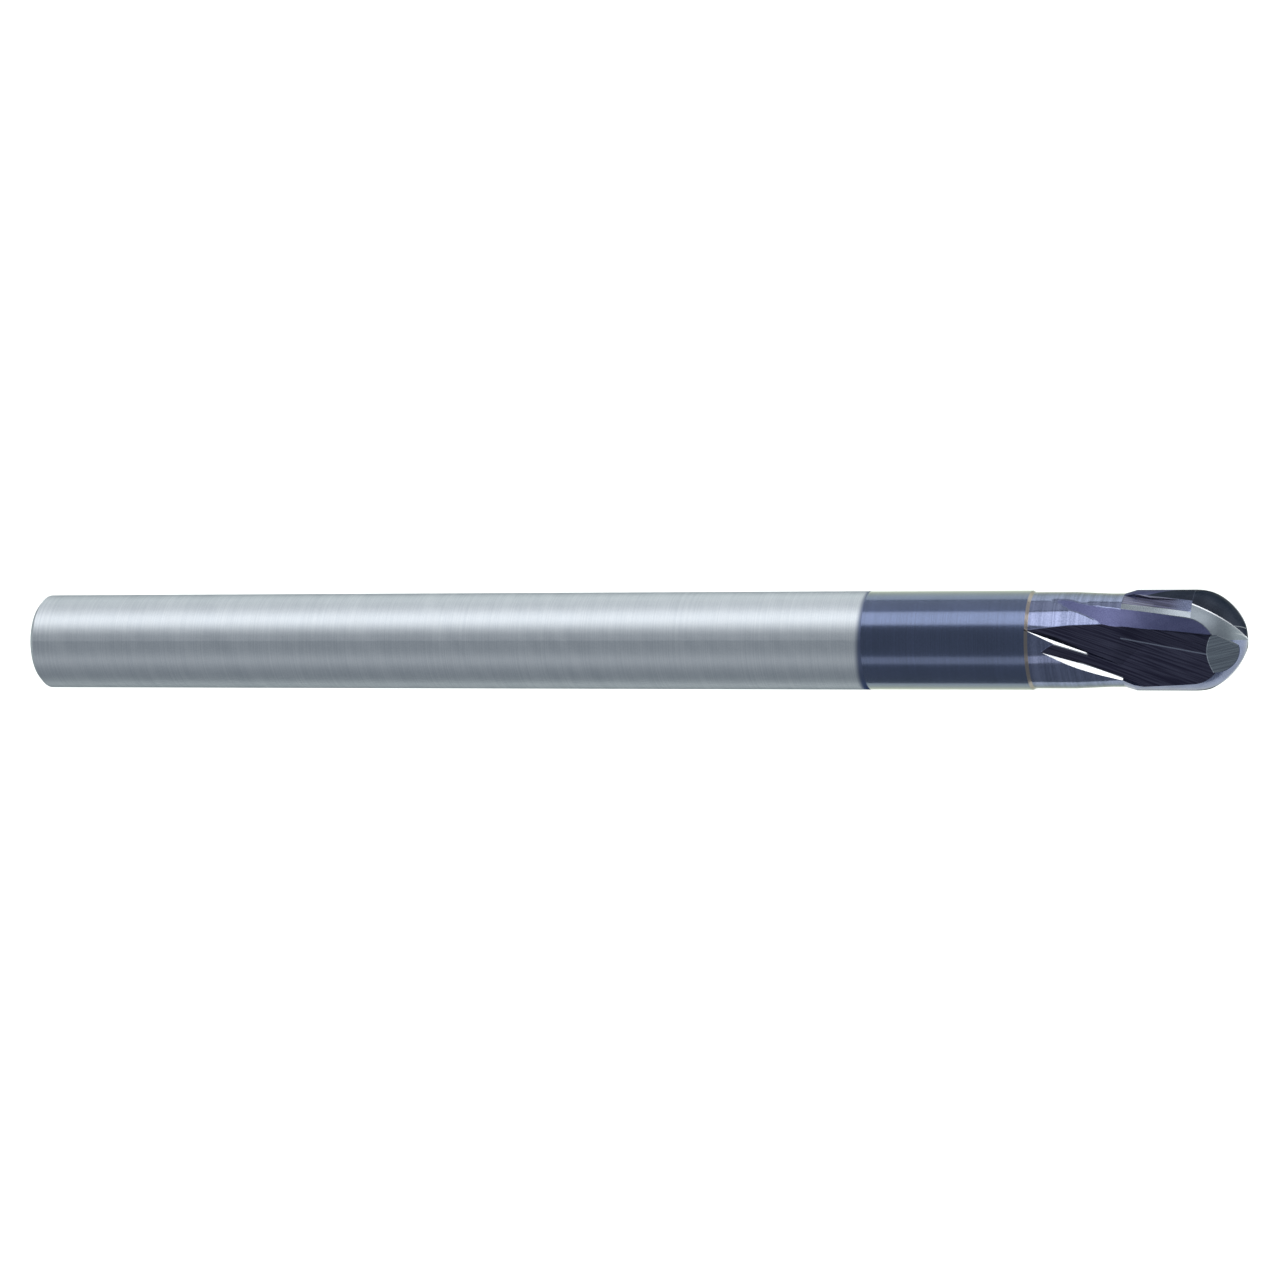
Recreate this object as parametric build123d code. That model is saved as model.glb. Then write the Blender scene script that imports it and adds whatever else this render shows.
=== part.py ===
from build123d import *
import math
import os

# Two-flute ball-nose end mill, ground from one carbide rod.  Millimetres.
# The tool lies along +X.  The origin is the centre of the rear end face,
# and the tip of the ball is at X = overall_length.  Angles round the tool are
# measured from +Z towards +Y, and the two teeth are half a turn apart.

# Driving dimensions
overall_length = 130.0
shank_diameter = 10.0
cutting_diameter = 10.0
neck_diameter = 9.68
waist_diameter = 9.34
coating_edge_from_tip = 38.0
neck_from_tip = 21.4
neck_step_length = 0.3
taper_from_tip = 17.0
waist_from_tip = 13.4
head_from_tip = 12.0
full_diameter_from_tip = 10.9
end_chamfer = 0.5
tooth_count = 2

# Worked-out sizes
shank_radius = shank_diameter / 2
ball_radius = cutting_diameter / 2
neck_radius = neck_diameter / 2
waist_radius = waist_diameter / 2
coating_x = overall_length - coating_edge_from_tip
neck_x = overall_length - neck_from_tip
neck_step_x = neck_x + neck_step_length
taper_x = overall_length - taper_from_tip
waist_x = overall_length - waist_from_tip
head_x = overall_length - head_from_tip
full_x = overall_length - full_diameter_from_tip
ball_x = overall_length - ball_radius
tooth_turn = 360.0 / tooth_count

# Flute floors: two straight wheel passes at floor_run degrees to the axis, which
# run out into the neck where the wheel lifts.  Angles are in degrees.
floor_run = 23.5
pass_length = 16.0
pass_width = 12.0
pass_height = 5.0
upper_pass = {
    "foot": (117.14, -2.20, 2.79),
    "tilt": 19.6,
    "dip": 4.05,
    "wall": 92.0,
    "lift_radius": 5.0,
    "lift_angle": 8.8,
}
lower_pass = {
    "foot": (119.38, -4.36, 2.03),
    "tilt": 21.5,
    "dip": 4.55,
    "wall": 74.0,
    "lift_radius": 23.0,
    "lift_angle": 18.1,
}

# Rake facet beside the cutting edge: (station, facing angle, distance off axis)
rake_facet = [
    (109.0, 63.0, 4.97),
    (110.4, 57.0, 4.86),
    (112.0, 51.0, 4.80),
    (114.0, 42.0, 4.73),
    (116.0, 33.0, 4.58),
    (117.6, 21.5, 4.36),
    (120.0, 11.5, 4.30),
    (123.0, 1.0, 4.32),
    (126.0, -8.0, 4.30),
    (131.0, -23.0, 4.30),
]
rake_cut_width = 12.0
rake_cut_height = 4.0

# Land behind the cutting edge: (station, edge angle, land radius, heel angle, depth
# of the hollow between the land and its heel)
ground_land = [
    (117.4, 43.0, 4.68, 70.0, 0.10),
    (119.2, 38.0, 4.72, 65.0, 0.10),
    (120.8, 34.5, 4.80, 57.0, 0.10),
    (122.8, 30.0, 4.92, 54.0, 0.08),
    (125.2, 24.5, 5.03, 50.0, 0.01),
]
land_width = 8.0
land_run_in = 10.0
land_run_out = 2.0
stock_clearance = 0.12
open_air_radius = 7.0

# Ball gash: a concave channel that dips towards the tip in front of the edge
gash_dip = 34.2
gash_radius = 6.0
gash_bottom = (126.3, -3.0, 3.72)
gash_length = 16.0
rake_wall_point = (127.56, 0.52, 4.27)
rake_wall_normal = (0.28, 0.94, -0.21)

# Clearance of the ball behind its primary land
clearance_radius = 6.5
clearance_centre = (123.82, -1.13, -0.80)
clearance_normal = (0.41, 0.86, -0.30)

# Longer than anything here, for cuts that clear the whole tool
reach = 40.0


def round_point(x, radius, angle):
    """Point at the given station, radius and angle round the tool."""
    turn = math.radians(angle)
    return (x, radius * math.sin(turn), radius * math.cos(turn))


def turned(points):
    """Solid turned from a half outline of (x, radius) points."""
    outline = Polyline([(x, 0, radius) for x, radius in points], close=True)
    return revolve(make_face(outline), Axis.X)


def lofted(sections):
    """Solid through closed polygons, one per station along the tool."""
    faces = [make_face(Polyline(points, close=True)) for points in sections]
    return loft(faces)


def beyond(point, normal):
    """Everything on the side of a plane that its normal faces."""
    plane = Plane(origin=point, z_dir=normal)
    return plane.location * Pos(0, 0, reach / 2) * Box(reach, reach, reach)


def wheel_pass(foot, tilt, dip, wall, lift_radius, lift_angle):
    """Space swept by one flute wheel pass.

    foot is where the wheel starts to lift, at the foot of its side wall, which
    stands at the angle wall to the floor.  tilt leans the floor down and away from
    the cutting edge, and dip sinks it towards the tip.  The wheel lifts round an
    arc, then leaves in a straight line.
    """
    run = Vector(1, 0, 0).rotate(Axis.Y, dip).rotate(Axis.Z, -floor_run)
    level = Vector(0, 1, 0).rotate(Axis.Z, -floor_run)
    side = level.rotate(Axis((0, 0, 0), run), tilt)
    frame = Plane(origin=foot, x_dir=run, z_dir=run.cross(side))
    wall_run = pass_height / math.tan(math.radians(wall))
    profile = Polyline(
        (0, 0, 0),
        (0, pass_width, 0),
        (0, pass_width, pass_height),
        (0, -wall_run, pass_height),
        close=True,
    )
    face = make_face(profile)
    lift_axis = Axis((0, 0, lift_radius), (0, 1, 0))
    straight = extrude(face, amount=pass_length, dir=(1, 0, 0))
    lift = revolve(face, lift_axis, lift_angle)
    leave = extrude(face, amount=pass_length, dir=(-1, 0, 0))
    leave = leave.rotate(lift_axis, lift_angle)
    return frame.location * (straight + lift + leave)


def eased(rows, steps=3):
    """Rows of numbers with smooth in-between rows, by cubic easing."""
    padded = [rows[0]] + rows + [rows[-1]]
    dense = []
    for before, start, end, after in zip(padded, padded[1:], padded[2:], padded[3:]):
        for step in range(steps):
            t = step / steps
            pull = [-t + 2 * t**2 - t**3, 2 - 5 * t**2 + 3 * t**3]
            pull += [t + 4 * t**2 - 3 * t**3, t**3 - t**2]
            values = zip(before, start, end, after)
            dense.append([sum(w * v for w, v in zip(pull, four)) / 2 for four in values])
    return dense + [list(rows[-1])]


def rake_cutter():
    """Twisting flat cut that leaves the narrow facet beside the edge."""
    sections = []
    for x, facing, distance in eased(rake_facet):
        turn = math.radians(facing)
        half = rake_cut_width / 2
        top = distance + rake_cut_height
        corners = [(-half, distance), (half, distance), (half, top), (-half, top)]
        section = []
        for across, out in corners:
            y = across * math.cos(turn) + out * math.sin(turn)
            z = out * math.cos(turn) - across * math.sin(turn)
            section.append((x, y, z))
        sections.append(section)
    return lofted(sections)


def land_cutter():
    """Cut for the narrow land and the shallow hollow behind it."""
    sections = []
    for x, edge, radius, heel, hollow in eased(ground_land):
        land_end = edge + land_width
        section = [
            round_point(x, radius + stock_clearance, edge - land_run_in),
            round_point(x, radius, edge),
            round_point(x, radius, land_end),
            round_point(x, radius - hollow, (land_end + heel) / 2),
            round_point(x, radius, heel),
            round_point(x, open_air_radius, heel + land_run_out),
            round_point(x, open_air_radius, edge - land_run_in),
        ]
        sections.append(section)
    return lofted(sections)


def gash_cutter():
    """Channel in front of the ball's cutting edge, stopped by the rake wall."""
    run = Vector(1, 0, 0).rotate(Axis.Y, gash_dip)
    frame = Plane(origin=gash_bottom, x_dir=(0, 1, 0), z_dir=run)
    channel = Pos(0, gash_radius, 0) * Cylinder(gash_radius, gash_length)
    return frame.location * channel - beyond(rake_wall_point, rake_wall_normal)


def clearance_cutter():
    """What the clearance grind takes off the ball behind its primary land."""
    tip = (overall_length, 0, 0)
    centre = Pos(*clearance_centre)
    kept = centre * Sphere(clearance_radius)
    kept += centre * Rot(Y=90) * Pos(0, 0, -reach / 2) * Cylinder(clearance_radius, reach)
    return beyond(tip, clearance_normal) - kept


def both_teeth(cutter):
    """The same cut made on each tooth in turn."""
    return [Rot(X=tooth_turn * i) * cutter for i in range(tooth_count)]


def shank():
    """Bare ground shank with its rear chamfer."""
    outline = [
        (0, 0),
        (0, shank_radius - end_chamfer),
        (end_chamfer, shank_radius),
        (coating_x, shank_radius),
        (coating_x, 0),
    ]
    return turned(outline)


def coated_shank():
    """Front of the shank, inside the coated length."""
    outline = [(coating_x, 0), (coating_x, shank_radius), (neck_x, shank_radius), (neck_x, 0)]
    return turned(outline)


def neck_blank():
    """Relieved neck, narrowest just behind the head."""
    outline = [
        (neck_x, 0),
        (neck_x, shank_radius),
        (neck_step_x, neck_radius),
        (taper_x, neck_radius),
        (waist_x, waist_radius),
        (head_x, waist_radius),
        (head_x, 0),
    ]
    return turned(outline)


def head_blank():
    """Cutting head: a flared start, the cutting diameter and the ball."""
    middle = ball_radius * math.sqrt(0.5)
    side = Line((head_x, 0, 0), (head_x, 0, waist_radius))
    flare = Line(side @ 1, (full_x, 0, ball_radius))
    body = Line(flare @ 1, (ball_x, 0, ball_radius))
    ball = ThreePointArc(body @ 1, (ball_x + middle, 0, middle), (overall_length, 0, 0))
    axis = Line(ball @ 1, side @ 0)
    return revolve(make_face([side, flare, body, ball, axis]), Axis.X)


def ground(blank, cutters):
    """Blank with each cut taken off it."""
    for cutter in cutters:
        blank = blank - cutter
    return blank


def write(part, name):
    """Check that the piece is one solid, and write it."""
    solids = part.solids()
    assert len(solids) == 1, name
    solid = solids[0]
    solid.label = name
    export_step(solid, f"parts/{name}.step")


os.makedirs("parts", exist_ok=True)

flutes = both_teeth(wheel_pass(**upper_pass))
flutes += both_teeth(wheel_pass(**lower_pass))
flutes += both_teeth(rake_cutter())
lands = both_teeth(land_cutter())
ball_cuts = both_teeth(gash_cutter()) + both_teeth(clearance_cutter())

write(shank(), "shank")
write(coated_shank(), "coated_shank")
write(ground(neck_blank(), flutes), "neck")
write(ground(head_blank(), lands + flutes + ball_cuts), "cutting_head")
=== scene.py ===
import math

import bpy
from mathutils import Matrix, Vector


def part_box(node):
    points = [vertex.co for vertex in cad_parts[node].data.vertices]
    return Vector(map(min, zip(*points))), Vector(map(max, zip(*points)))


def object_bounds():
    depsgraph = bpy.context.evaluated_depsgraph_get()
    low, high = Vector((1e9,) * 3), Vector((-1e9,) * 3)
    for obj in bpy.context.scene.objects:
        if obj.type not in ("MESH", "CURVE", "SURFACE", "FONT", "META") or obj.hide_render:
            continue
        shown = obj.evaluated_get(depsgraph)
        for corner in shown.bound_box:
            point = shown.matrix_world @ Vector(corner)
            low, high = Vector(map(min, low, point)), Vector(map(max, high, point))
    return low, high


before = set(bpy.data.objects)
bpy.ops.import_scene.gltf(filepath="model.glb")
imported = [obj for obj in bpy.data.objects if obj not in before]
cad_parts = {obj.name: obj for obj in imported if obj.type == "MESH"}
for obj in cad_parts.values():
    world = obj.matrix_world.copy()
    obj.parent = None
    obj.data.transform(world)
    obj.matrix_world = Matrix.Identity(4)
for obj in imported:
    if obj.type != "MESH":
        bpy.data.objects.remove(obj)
cad_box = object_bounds()
axis_end = cad_box[1][0]
bar_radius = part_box("shank")[1][2]


# The bare shank
#
# The clamping end of the rod: solid tungsten carbide, centreless ground to size.  The
# wheel leaves a satin grey with very fine rings, and its slow feed leaves faint slanting
# bands.  The coating of the front thins out over its last part.

carbide_grey = (0.74, 0.775, 0.805)
carbide_dark = (0.60, 0.64, 0.68)
carbide_roughness = 0.47
carbide_rim = (0.02, 0.03, 0.04)
ring_pitch = 0.00011
ring_length = 0.02
ring_depth = 0.0000016
feed_pitch = 0.0021
feed_length = 0.05
feed_slant = 0.55
grain_size = 0.00009
even = 0.5
line_span = (0.35, 0.65)
film_roughness = 0.12
shank_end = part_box("shank")[1][0]
coating_mist = (0.14, 0.17, 0.27)
mist_start = shank_end - 0.0008
mist_end = shank_end - 0.0001
mist_slant = 0.05


class Field:
    """A socket of a material, with Python arithmetic that adds the Math nodes."""

    def __init__(self, tree, socket):
        self.tree = tree
        self.socket = socket

    def node(self, kind, settings=None, inputs=None, output=0):
        """Any node: its type, its settings, and the values or links of its sockets."""
        made = self.tree.nodes.new("ShaderNode" + kind)
        for name, value in (settings or {}).items():
            setattr(made, name, value)
        for name, value in (inputs or {}).items():
            if isinstance(value, Field):
                self.tree.links.new(value.socket, made.inputs[name])
            else:
                made.inputs[name].default_value = value
        return Field(self.tree, made.outputs[output])

    def maths(self, operation, *others):
        """One Math node on this field and these numbers or fields, in this order."""
        return self.node("Math", {"operation": operation}, dict(enumerate((self, *others))))

    def __add__(self, other):
        return self.maths("ADD", other)

    def __radd__(self, other):
        return self.maths("ADD", other)

    def __sub__(self, other):
        return self.maths("SUBTRACT", other)

    def __rsub__(self, other):
        return self.node("Math", {"operation": "SUBTRACT"}, {0: other, 1: self})

    def __mul__(self, other):
        return self.maths("MULTIPLY", other)

    def __rmul__(self, other):
        return self.maths("MULTIPLY", other)

    def __truediv__(self, other):
        return self.maths("DIVIDE", other)

    def over(self, low, high):
        """0 below low, 1 above high, and a soft rise between them."""
        span = {"interpolation_type": "SMOOTHSTEP"}
        return self.node("MapRange", span, {"Value": self, "From Min": low, "From Max": high})

    def between(self, low, high, soft):
        """1 from low to high, falling to 0 over the width soft outside them."""
        return self.over(low - soft, low) * (1 - self.over(high, high + soft))

    def mix(self, first, second):
        """First colour where this is 0, second where it is 1."""
        colours = {0: self, 6: as_colour(first), 7: as_colour(second)}
        return self.node("Mix", {"data_type": "RGBA"}, colours, output=2)


def as_colour(value):
    """A colour with its alpha, or the field as it is."""
    return value if isinstance(value, Field) else (*value, 1)


def finish_of(name):
    """New material with its principled shader, and the place of each point.

    The place is given along the tool, across it and up, as the angle round the tool from
    straight up, and as the distance off the axis, all from Object coordinates.
    """
    material = bpy.data.materials.new(name)
    material.use_nodes = True
    tree = material.node_tree
    shader = tree.nodes["Principled BSDF"]
    start = Field(tree, None)
    point = start.node("TexCoord", output=3)
    split = point.node("SeparateXYZ", inputs={0: point})
    sockets = split.socket.node.outputs
    x, y, z = (Field(tree, sockets[i]) for i in range(3))
    turn = y.maths("ARCTAN2", z)
    off_axis = (y * y + z * z).maths("SQRT")
    place = {"point": point, "x": x, "y": y, "z": z, "turn": turn, "off_axis": off_axis}
    return material, shader, place


def stretched(place, along, round_about, detail=3.0):
    """Noise on the tool's surface, its grain that long along the rod and round it."""
    lengths = {0: place["x"] / along, 1: place["y"] / round_about, 2: place["z"] / round_about}
    unrolled = place["x"].node("CombineXYZ", inputs=lengths)
    return unrolled.node("TexNoise", inputs={"Vector": unrolled, "Scale": 1.0, "Detail": detail})


def dress(shader, colour, roughness, height, depth, rim, film=0.0, facing=None):
    """Joins a finish to its shader: colour, roughness and a relief of that depth.

    rim is the tint of the metal where it is seen at a glancing angle, film the glossy
    top layer of a coating, and facing the way that the surface faces, where that isn't
    the mesh's own.
    """
    tree = colour.tree
    relief = {"Height": height, "Strength": 1.0, "Distance": depth}
    if facing:
        relief["Normal"] = facing
    bump = height.node("Bump", inputs=relief)
    tree.links.new(colour.socket, shader.inputs["Base Color"])
    tree.links.new(roughness.socket, shader.inputs["Roughness"])
    tree.links.new(bump.socket, shader.inputs["Normal"])
    shader.inputs["Metallic"].default_value = 1.0
    shader.inputs["Specular Tint"].default_value = (*rim, 1)
    shader.inputs["Coat Roughness"].default_value = film_roughness
    if isinstance(film, Field):
        tree.links.new(film.socket, shader.inputs["Coat Weight"])
    else:
        shader.inputs["Coat Weight"].default_value = film


def give(node, material):
    """Puts the material on every slot of a carried-over node."""
    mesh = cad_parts[node].data
    mesh.materials.clear()
    mesh.materials.append(material)


ground, ground_shader, spot = finish_of("ground carbide")
rings = stretched(spot, ring_pitch, ring_length)
grain = stretched(spot, grain_size, grain_size)
slanted = {**spot, "x": spot["x"] + spot["y"] * feed_slant}
bands = stretched(slanted, feed_pitch, feed_length, detail=1.0)
tone = (rings * 0.4 + grain * 0.4 + bands * 0.2).over(*line_span)
mist = (spot["x"] - spot["y"] * mist_slant).over(mist_start, mist_end)
give("shank", ground)
dress(
    ground_shader,
    mist.mix(tone.mix(carbide_dark, carbide_grey), coating_mist),
    carbide_roughness + (grain - even) * 0.12 + (bands - even) * 0.10,
    rings * 0.7 + grain * 0.5,
    ring_depth,
    carbide_rim,
)


# The coated shank
#
# The same ground bar with a dark violet-blue hard coating, a few thousandths of a
# millimetre thick, grown on in vacuum.  It thins out over the last of the bare shank,
# under the edge of the holder, and takes the rings of the bar under it.

coating_violet = (0.135, 0.17, 0.295)
coating_dark = (0.09, 0.12, 0.205)
coating_roughness = 0.22
tone_span = (0.34, 0.66)
cloud_length = 0.006
cloud_width = 0.003
coating_rim = (0.50, 0.54, 0.30)
clear_film = 0.8

coated, coated_shader, spot = finish_of("coated shank")
rings = stretched(spot, ring_pitch, ring_length)
grain = stretched(spot, grain_size, grain_size)
cloud = stretched(spot, cloud_length, cloud_width)
tone = (rings * 0.35 + grain * 0.45 + cloud * 0.2).over(*tone_span)
give("coated_shank", coated)
dress(
    coated_shader,
    tone.mix(coating_dark, coating_violet),
    coating_roughness + (grain - even) * 0.10 + (cloud - even) * 0.06,
    rings * 0.6 + grain * 0.5,
    ring_depth,
    coating_rim,
    clear_film,
)


# The neck
#
# The relieved length behind the head, plunge ground a little under size and polished
# before coating.  The flute wheels run out across it and leave fine lines at the slant
# of their pass.  The sizes of the passes repeat those of the solid model.

neck_violet = (0.28, 0.315, 0.49)
neck_dark = (0.12, 0.145, 0.25)
neck_rim = (0.12, 0.16, 0.05)
neck_roughness = 0.13
# Near black for the flute floors: painted shade for the depth of the flutes; the wheel lines on
# them are the tool's own.
shaded_floor_light = (0.050, 0.052, 0.085)
shaded_floor_dark = (0.020, 0.020, 0.040)
facet_light = (0.19, 0.20, 0.37)
facet_dark = (0.12, 0.13, 0.26)
facet_roughness = 0.50
cut_roughness = neck_roughness + 0.15
step_roughness = 0.1
streak_pitch = 0.00035
wheel_line_pitch = 0.00016
wheel_line_length = 0.006
flute_run = 23.5
floor_line_run = flute_run - 4.0
upper_pass = {
    "foot": (0.11714, -0.00220, 0.00279),
    "tilt": 19.6,
    "dip": 4.05,
    "wall": 92.0,
    "lift_radius": 0.005,
    "lift_angle": 8.8,
}
lower_pass = {
    "foot": (0.11938, -0.00436, 0.00203),
    "tilt": 21.5,
    "dip": 4.55,
    "wall": 74.0,
    "lift_radius": 0.023,
    "lift_angle": 18.1,
}
# Near white for the flute walls and the glint: a painted highlight, beside the leaned shading
# normal.
painted_highlight_white = (0.95, 0.97, 1.0)
wall_lean = 1.5
upper_wall_end = axis_end - 0.0152
neck_radius = 0.00484
waist_radius = 0.00467
taper_start = axis_end - 0.0170
taper_end = axis_end - 0.0134
step_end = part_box("neck")[0][0] + 0.0003
cut_depth = (0.000015, 0.00004)
# A warm lighter ring at the step to the neck: a painted highlight.
step_highlight = (0.33, 0.29, 0.27)
skin = 0.00006
wall_skin = skin * 2.5
crease_skin = skin / 20
highlight_fade = skin * 5


def flipped(vector, half_turn):
    """The vector, or the vector turned half round the tool."""
    return Vector((vector.x, -vector.y, -vector.z)) if half_turn else Vector(vector)


def reach_along(place, start, direction):
    """How far each point lies from start in this direction."""
    ends = {0: place["point"], 1: direction}
    dot = place["point"].node("VectorMath", {"operation": "DOT_PRODUCT"}, ends, output=1)
    return dot - start.dot(direction)


def near(distance, width):
    """1 where a distance is nearly nothing, 0 beyond the width."""
    return 1 - distance.maths("ABSOLUTE").over(width / 2, width)


def either(*masks):
    """The largest of the masks."""
    largest = masks[0]
    for mask in masks[1:]:
        largest = largest.maths("MAXIMUM", mask)
    return largest


def pass_marks(place, half_turn, foot, tilt, dip, wall, lift_radius, lift_angle):
    """Masks of the floor and side wall that one wheel pass left, and height over it.

    The wheel runs at flute_run to the axis and sinks by dip, its floor leans over by
    tilt, and behind the foot it lifts round an arc and leaves in a straight line.
    """
    run = Vector((1, 0, 0))
    run.rotate(Matrix.Rotation(math.radians(dip), 3, "Y"))
    run.rotate(Matrix.Rotation(math.radians(-flute_run), 3, "Z"))
    side = Vector((math.sin(math.radians(flute_run)), math.cos(math.radians(flute_run)), 0))
    side.rotate(Matrix.Rotation(math.radians(tilt), 3, run))
    start = flipped(Vector(foot), half_turn)
    ahead = reach_along(place, start, flipped(run, half_turn))
    aside = reach_along(place, start, flipped(side, half_turn))
    above = reach_along(place, start, flipped(run.cross(side), half_turn))
    lift = math.radians(lift_angle)
    leaving = ahead * math.sin(lift) + above * math.cos(lift)
    leaving = leaving + lift_radius * (1 - math.cos(lift))
    from_hub = ahead * ahead + (above - lift_radius) * (above - lift_radius)
    over_arc = lift_radius - from_hub.maths("SQRT")
    arc_end = -lift_radius * math.sin(lift)
    on_straight = near(above, skin) * ahead.over(-skin, 0.0)
    on_arc = near(over_arc, skin) * ahead.between(arc_end, 0.0, skin)
    on_leaving = near(leaving, skin) * (1 - ahead.over(arc_end, arc_end + skin))
    floor = either(on_straight, on_arc, on_leaving) * aside.over(-skin, skin)
    height = above.maths("MINIMUM", leaving)
    lean = aside + height * (1 / math.tan(math.radians(wall)))
    standing = near(lean, wall_skin) * height.over(skin / 3, skin)
    return floor, standing, above


def flute_marks(place):
    """Masks of the flute floors, of their walls and of the crease between the floors."""
    floors, walls, creases = [], [], []
    for half_turn in (False, True):
        upper = pass_marks(place, half_turn, **upper_pass)
        lower = pass_marks(place, half_turn, **lower_pass)
        floors += [upper[0], lower[0]]
        # The painted highlight and lean on the upper walls stop short of upper_wall_end.
        highlight_part = 1 - place["x"].over(upper_wall_end - highlight_fade, upper_wall_end)
        walls += [upper[1] * highlight_part, lower[1]]
        creases.append(near(upper[2] - lower[2], crease_skin) * near(upper[2], skin))
    return either(*floors), either(*walls), either(*creases)


def leaned(place, walls):
    """Shading normal: the surface's own, leaned away from the plane z = 0 on the walls.

    The steep flat walls would mirror the dark floor beside them.  The lean is a choice
    of look that lets them catch the light, and isn't a shape of the tool.
    """
    upwards = {0: 0.0, 1: 0.0, 2: place["z"] / place["off_axis"]}
    outwards = {0: walls.node("CombineXYZ", inputs=upwards), "Scale": walls * wall_lean}
    lean = walls.node("VectorMath", {"operation": "SCALE"}, outwards)
    own = walls.node("NewGeometry", output=1)
    leant = walls.node("VectorMath", {"operation": "ADD"}, {0: own, 1: lean})
    return walls.node("VectorMath", {"operation": "NORMALIZE"}, {0: leant})


def wheel_lines(place, run):
    """Fine lines left by a wheel that ran at this angle to the axis."""
    turn = math.radians(run)
    across = place["x"] * math.sin(turn) + place["y"] * math.cos(turn)
    along = place["x"] * math.cos(turn) - place["y"] * math.sin(turn)
    lengths = {0: along / wheel_line_length, 1: across / wheel_line_pitch, 2: 0.0}
    turned = across.node("CombineXYZ", inputs=lengths)
    return turned.node("TexNoise", inputs={"Vector": turned, "Scale": 1.0, "Detail": 2.0})


neck, neck_shader, spot = finish_of("coated neck")
streaks = stretched(spot, streak_pitch, ring_length)
grain = stretched(spot, grain_size, grain_size)
lines = wheel_lines(spot, floor_line_run)
taper = {
    "Value": spot["x"],
    "From Min": taper_start,
    "From Max": taper_end,
    "To Min": neck_radius,
    "To Max": waist_radius,
}
blank = spot["x"].node("MapRange", inputs=taper)
cut_away = (blank - spot["off_axis"]).over(*cut_depth)
floors, walls, _ = flute_marks(spot)
step = 1 - spot["x"].over(step_end, step_end + skin)
tone = (streaks * 0.5 + grain * 0.5).over(*tone_span)
skin_colour = tone.mix(neck_dark, neck_violet)
facet_colour = grain.over(*line_span).mix(facet_dark, facet_light)
# Flute floors: painted shade, near black, with the wheel lines.
shaded_floor_colour = lines.over(*line_span).mix(shaded_floor_dark, shaded_floor_light)
# Flute walls: painted highlight in near white.
cut_colour = walls.mix(floors.mix(facet_colour, shaded_floor_colour), painted_highlight_white)
# Step to the neck: painted highlight.
colour = step.mix(cut_away.mix(skin_colour, cut_colour), step_highlight)
on_facet = cut_away * (1 - floors) * (1 - walls)
roughness = neck_roughness + cut_away * (cut_roughness - neck_roughness)
roughness = roughness + on_facet * (facet_roughness - cut_roughness)
give("neck", neck)
dress(
    neck_shader,
    colour,
    roughness + step * step_roughness + (grain - even) * 0.08,
    (1 - cut_away) * streaks * 0.6 + floors * lines * 0.9 + grain * 0.3,
    ring_depth * 1.4,
    neck_rim,
    (1 - either(on_facet, floors)) * clear_film,
    leaned(spot, walls * cut_away),
)


# The cutting head
#
# Two flutes, the lands behind their edges and the ball, all wheel ground before coating.
# Each wheel leaves its own lines: along the flutes, across the gash in front of the
# ball's edge and along the hollow behind the land, but none on the rake facet.

gash_light = (0.36, 0.41, 0.46)
gash_dark = (0.22, 0.25, 0.30)
# Near black on the relief behind the edges: painted shade for the dark that it mirrors.
shaded_relief_light = (0.055, 0.062, 0.085)
shaded_relief_dark = (0.030, 0.035, 0.050)
back_light = (0.12, 0.125, 0.22)
back_dark = (0.07, 0.075, 0.15)
# Light grey on the lands: a painted reflection of the pale surroundings that they mirror at a
# glancing angle.
land_reflection_light = (0.36, 0.40, 0.44)
land_reflection_dark = (0.27, 0.305, 0.345)
hollow_light = (0.14, 0.14, 0.24)
hollow_dark = (0.05, 0.05, 0.10)
# A lighter line where two flute passes meet: a painted highlight on the ridge.
crease_highlight = (0.16, 0.18, 0.24)
head_roughness = 0.28
head_rim = (0.37, 0.38, 0.38)
land_start = axis_end - 0.0126
helix = 2370.0
edge_lag = 43.0
land_lag = 51.0
heel_lag = 69.0
heel_soft = 1.0
land_soft = 0.6
back_end = 98.0
back_soft = 6.0
hollow_end = axis_end - 0.0055
hollow_fade = 0.002
relief_start = axis_end - 0.0097
relief_slope = 7000.0
relief_angle = 60.0
relief_soft = 3.0
glint_start = (10.0, 22.0)
glint_end = (60.0, 66.0)
glint_width = skin * 1.5
glint_lean = 0.4
ball_centre_x = axis_end - bar_radius
gash_radius = 0.006
gash_bottom = Vector((0.1263, -0.0030, 0.00372))
gash_dip = math.radians(34.2)
gash_start = axis_end - 0.0057
gash_line_run = -14.0
strip_line_run = 9.0
strip_span = (0.4, 0.6)
cloud_size = 0.002
coarse_roughness = 0.22
relief_roughness = 0.1
rake_start = axis_end - 0.0028
rake_wall_lean = 2.0
# Light grey for the gash's rake wall: a painted highlight in place of the dark channel that it
# mirrors.
rake_wall_highlight = (0.58, 0.62, 0.64)
rake_point = Vector((0.12756, 0.00052, 0.00427))
rake_normal = Vector((0.28, 0.94, -0.21)).normalized()
relief_normal = Vector((0.41, 0.86, -0.30)).normalized()


def from_line(place, start, direction):
    """Distance from a straight line: the length of the offset crossed with its way."""
    ends = {0: place["point"], 1: start}
    offset = place["point"].node("VectorMath", {"operation": "SUBTRACT"}, ends)
    ways = {0: offset, 1: direction}
    crossed = offset.node("VectorMath", {"operation": "CROSS_PRODUCT"}, ways)
    return crossed.node("VectorMath", {"operation": "LENGTH"}, {0: crossed}, output=1)


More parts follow.
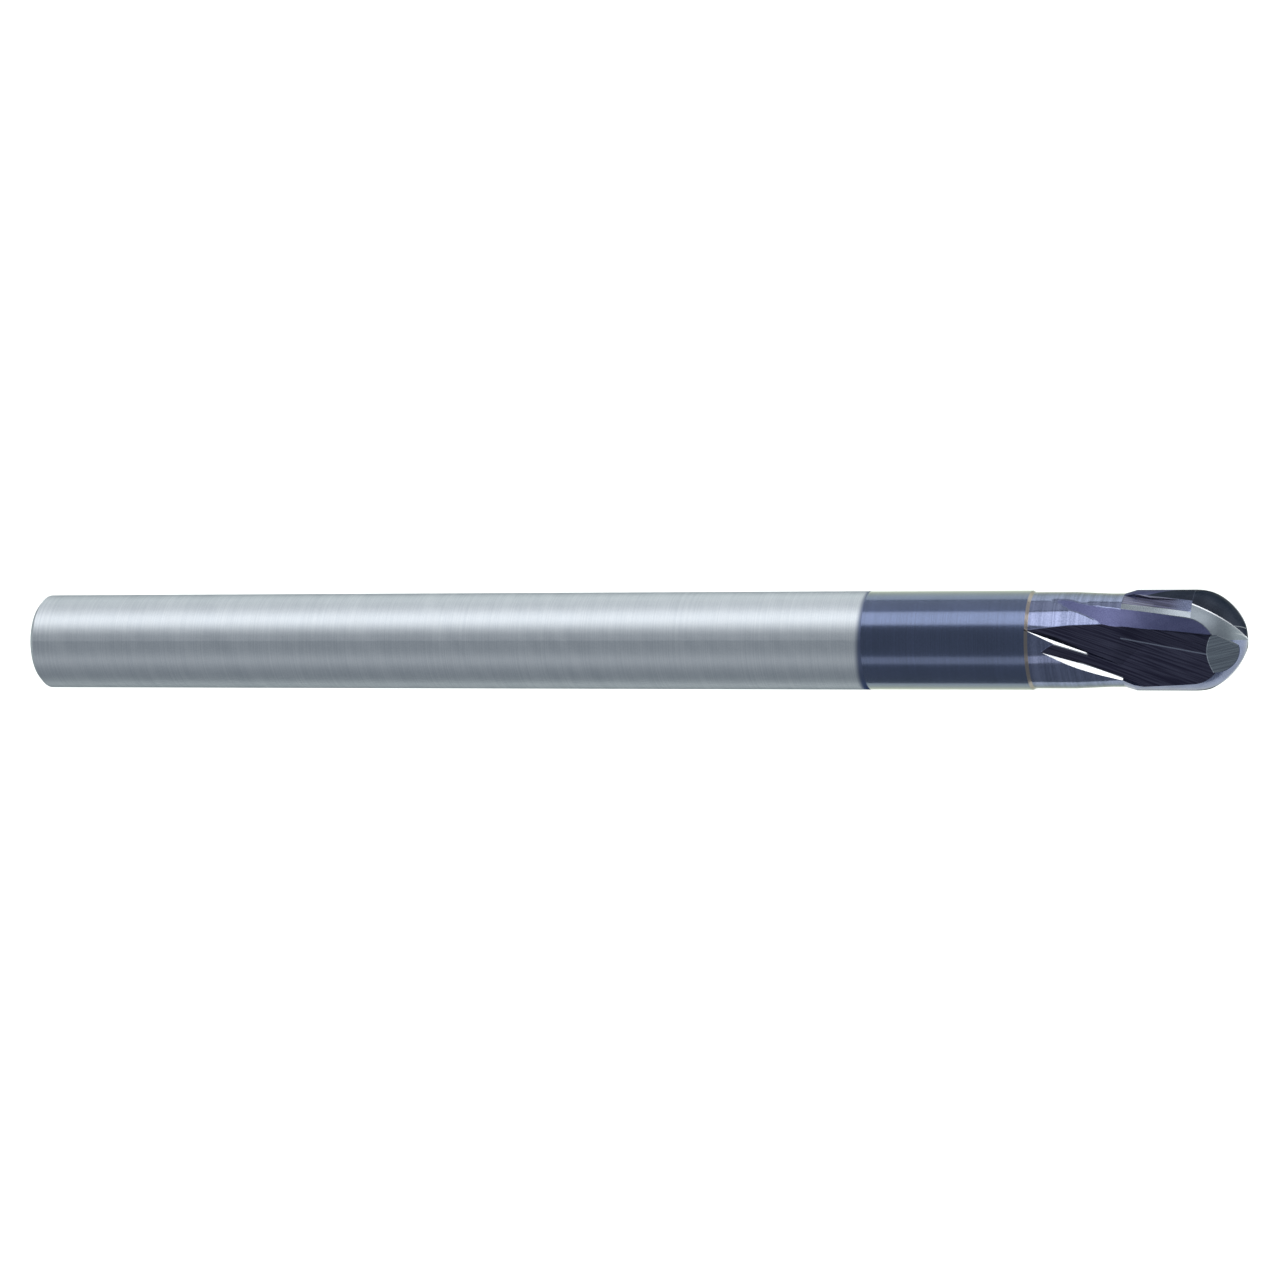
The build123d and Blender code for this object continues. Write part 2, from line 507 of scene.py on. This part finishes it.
def gash_marks(place, half_turn):
    """Masks of the channel in front of the ball's edge and of its rake wall."""
    way = Vector((math.cos(gash_dip), 0, -math.sin(gash_dip)))
    upwards = Vector((math.sin(gash_dip), 0, math.cos(gash_dip)))
    axis = gash_bottom + upwards * gash_radius
    channel = from_line(place, flipped(axis, half_turn), flipped(way, half_turn)) - gash_radius
    wall = reach_along(place, flipped(rake_point, half_turn), flipped(rake_normal, half_turn))
    before_wall = 1 - wall.over(-skin, 0.0)
    channel = near(channel, skin) * place["x"].over(gash_start, gash_start + skin)
    rake_wall = near(wall, skin) * place["x"].over(rake_start, rake_start + skin)
    return channel * before_wall, rake_wall


def behind_land(place, half_turn):
    """How far each point lies behind the edge of the ball's primary land."""
    tip = Vector((axis_end, 0, 0))
    return reach_along(place, tip, flipped(relief_normal, half_turn))


head, head_shader, spot = finish_of("coated head")
grain = stretched(spot, grain_size, grain_size)
cloud = stretched(spot, cloud_size, cloud_size)
lines = wheel_lines(spot, floor_line_run)
gash_lines = wheel_lines(spot, gash_line_run)
strip_lines = wheel_lines(spot, strip_line_run)
tone = (grain * 0.6 + cloud * 0.4).over(*tone_span)
floors, _, creases = flute_marks(spot)
gashes = [gash_marks(spot, half_turn) for half_turn in (False, True)]
channels = either(*(gash[0] for gash in gashes))
rake_walls = either(*(gash[1] for gash in gashes))
past_ball = (spot["x"] - ball_centre_x).maths("MAXIMUM", 0.0)
from_core = past_ball * past_ball + spot["off_axis"] * spot["off_axis"]
depth = bar_radius - from_core.maths("SQRT")
round_tooth = spot["turn"].maths("FLOORED_MODULO", math.pi) * math.degrees(1.0)
lag = round_tooth + (spot["x"] - land_start) * helix
on_tooth = 1 - round_tooth.over(back_end, back_end + back_soft)
on_ball = past_ball.over(0.0, skin)
land_edges = [behind_land(spot, half_turn) for half_turn in (False, True)]
own_sides = [spot["y"].over(0.0, skin), 1 - spot["y"].over(-skin, 0.0)]
beyond = either(*(edge.over(0.0, skin) * own for edge, own in zip(land_edges, own_sides)))
outer = 1 - depth.over(skin * 0.5, skin)
side_relief = round_tooth - (spot["x"] - relief_start) * relief_slope
side_relief = (1 - side_relief.over(relief_angle, relief_angle + relief_soft)) * (1 - on_ball)
side_relief = side_relief * lag.over(heel_lag - heel_soft, heel_lag)
relief = either(beyond * on_ball, side_relief) * on_tooth
inside = depth.over(skin * 0.3, skin)
rake_walls = rake_walls * inside
in_gash = either(channels * inside, rake_walls)
# A thin line along the edge of the ball's land, painted in near white as a highlight.
glint = either(*(near(edge + skin, glint_width) for edge in land_edges)) * on_ball * outer
glint = glint * (1 - round_tooth.over(*glint_end)) * round_tooth.over(*glint_start)
ball_land = outer * on_ball * on_tooth * (1 - beyond)
side_land = lag.between(edge_lag, land_lag, land_soft) * (1 - on_ball)
hollow = lag.between(land_lag, heel_lag, land_soft)
hollow = hollow * (1 - spot["x"].over(hollow_end - hollow_fade, hollow_end))
back = lag.over(heel_lag, heel_lag + heel_soft) * on_tooth * (1 - on_ball)
facet = (1 - lag.over(edge_lag - land_soft, edge_lag)) * (1 - on_ball * outer)

colour = tone.mix(neck_dark, neck_violet)
colour = back.mix(colour, tone.mix(back_dark, back_light))
colour = hollow.mix(colour, strip_lines.over(*strip_span).mix(hollow_dark, hollow_light))
# Lands: painted reflection in light grey.
colour = either(side_land, ball_land).mix(colour, tone.mix(land_reflection_dark, land_reflection_light))
colour = facet.mix(colour, tone.mix(facet_dark, facet_light))
# Relief: painted shade, near black.
colour = relief.mix(colour, tone.mix(shaded_relief_dark, shaded_relief_light))
# Flute floors: painted shade, near black, with the wheel lines.
colour = floors.mix(colour, lines.over(*line_span).mix(shaded_floor_dark, shaded_floor_light))
# Ridge between the passes: painted highlight.
colour = creases.mix(colour, crease_highlight)
colour = in_gash.mix(colour, gash_lines.over(*line_span).mix(gash_dark, gash_light))
# Rake wall: painted highlight.
colour = rake_walls.mix(colour, rake_wall_highlight)
# Glint: painted highlight in near white.
colour = glint.mix(colour, painted_highlight_white)
coarse = either(ball_land, facet * (1 - floors) * (1 - in_gash))
roughness = head_roughness + coarse * coarse_roughness
roughness = roughness + (back + relief) * relief_roughness
give("cutting_head", head)
dress(
    head_shader,
    colour,
    roughness + (grain - even) * 0.10,
    floors * lines * 0.6 + in_gash * gash_lines * 0.6 + grain * 0.5,
    ring_depth * 1.2,
    head_rim,
    (1 - either(coarse, relief, back, floors)) * clear_film,
    leaned(spot, either(glint * glint_lean, rake_walls * rake_wall_lean)),
)


# The floor, the lights and the camera
#
# The tool hangs level over a plain white sheet.  Three long soft boxes lie along it: the
# key high on the side of the upper edge, one level with the tool on that side, and a
# weaker one across from the key.  The camera looks down from a little towards the tip.

sheet_drop = 0.060
sheet_upper_edge = 0.185
sheet_lower_edge = -0.113
sheet_half_length = 0.60
sheet_white = (0.9, 0.9, 0.9)
sheet_roughness = 0.9
sheet_tint = (0.95, 1.0, 0.93)
sheet_glow = 0.80
box_distance = 0.60
box_length = 1.40
box_middle = -0.10
key_box = {"angle": 53.0, "spread": 34.0, "level": 1.6}
low_box = {"angle": 90.0, "spread": 32.0, "level": 0.40}
fill_box = {"angle": -48.0, "spread": 18.0, "level": 0.55}
room_dim = (0.225, 0.25, 0.278)
room_pale = (1.0, 1.0, 1.0)
target = Vector((0.0673273, 0.0000675, 0.0))
camera_distance = 0.386655
camera_lean = 0.302585
camera_roll = -0.001115
sensor_width = 36.0
lens_for_sensor = 2.921606


def sheet(name, half_length, lower_edge, upper_edge, height):
    """Flat four-sided sheet that faces up, its middle under the camera's target."""
    low_x, high_x = target.x - half_length, target.x + half_length
    rim = [(low_x, lower_edge), (high_x, lower_edge), (high_x, upper_edge), (low_x, upper_edge)]
    mesh = bpy.data.meshes.new(name)
    mesh.from_pydata([(x, y, height) for x, y in rim], [], [(0, 1, 2, 3)])
    made = bpy.data.objects.new(name, mesh)
    bpy.context.collection.objects.link(made)
    return made


def long_box(name, angle, spread, level):
    """Soft box along the whole tool, at this angle from straight up towards +Y.

    spread is the angle that it fills, seen from the tool.  level is the brightness of
    its face, so its power is level times its area times pi.
    """
    turn = math.radians(angle)
    width = 2 * box_distance * math.tan(math.radians(spread / 2))
    data = bpy.data.lights.new(name, "AREA")
    data.shape = "RECTANGLE"
    data.size = box_length
    data.size_y = width
    data.energy = level * box_length * width * math.pi
    box = bpy.data.objects.new(name, data)
    along = Vector((1, 0, 0))
    back = Vector((0, math.sin(turn), math.cos(turn)))
    facing = Matrix((along, back.cross(along), back)).transposed().to_4x4()
    box.matrix_world = Matrix.Translation(along * box_middle + back * box_distance) @ facing
    box.visible_camera = False
    bpy.context.collection.objects.link(box)


floor = sheet("floor", sheet_half_length, sheet_lower_edge, sheet_upper_edge, -sheet_drop)
white = bpy.data.materials.new("white sheet")
white.use_nodes = True
paint = white.node_tree.nodes["Principled BSDF"].inputs
paint["Base Color"].default_value = (*sheet_white, 1)
paint["Roughness"].default_value = sheet_roughness
paint["Emission Color"].default_value = (*sheet_tint, 1)
paint["Emission Strength"].default_value = sheet_glow
floor.data.materials.append(white)

long_box("key box", **key_box)
long_box("low box", **low_box)
long_box("fill box", **fill_box)

# The room is pale behind the tool, and dimmer where it lights the tool.
room = bpy.data.worlds.new("studio")
bpy.context.scene.world = room
room.use_nodes = True
nodes = room.node_tree.nodes
links = room.node_tree.links
dim = nodes["Background"]
dim.inputs["Color"].default_value = (*room_dim, 1)
pale = nodes.new("ShaderNodeBackground")
pale.inputs["Color"].default_value = (*room_pale, 1)
path = nodes.new("ShaderNodeLightPath")
choose = nodes.new("ShaderNodeMixShader")
links.new(path.outputs["Is Camera Ray"], choose.inputs[0])
links.new(dim.outputs[0], choose.inputs[1])
links.new(pale.outputs[0], choose.inputs[2])
links.new(choose.outputs[0], nodes["World Output"].inputs["Surface"])

camera_data = bpy.data.cameras.new("camera")
camera_data.sensor_width = sensor_width
camera_data.lens = sensor_width * lens_for_sensor
camera = bpy.data.objects.new("camera", camera_data)
bpy.context.collection.objects.link(camera)
look = Vector((-math.sin(camera_lean), 0, -math.cos(camera_lean)))
right = Vector((math.cos(camera_lean), 0, -math.sin(camera_lean)))
up = Vector((0, 1, 0))
rolled_right = right * math.cos(camera_roll) + up * math.sin(camera_roll)
rolled_up = up * math.cos(camera_roll) - right * math.sin(camera_roll)
turn = Matrix((rolled_right, rolled_up, -look)).transposed().to_4x4()
camera.matrix_world = Matrix.Translation(target - look * camera_distance) @ turn
bpy.context.scene.camera = camera
bpy.context.scene.view_settings.view_transform = "Standard"
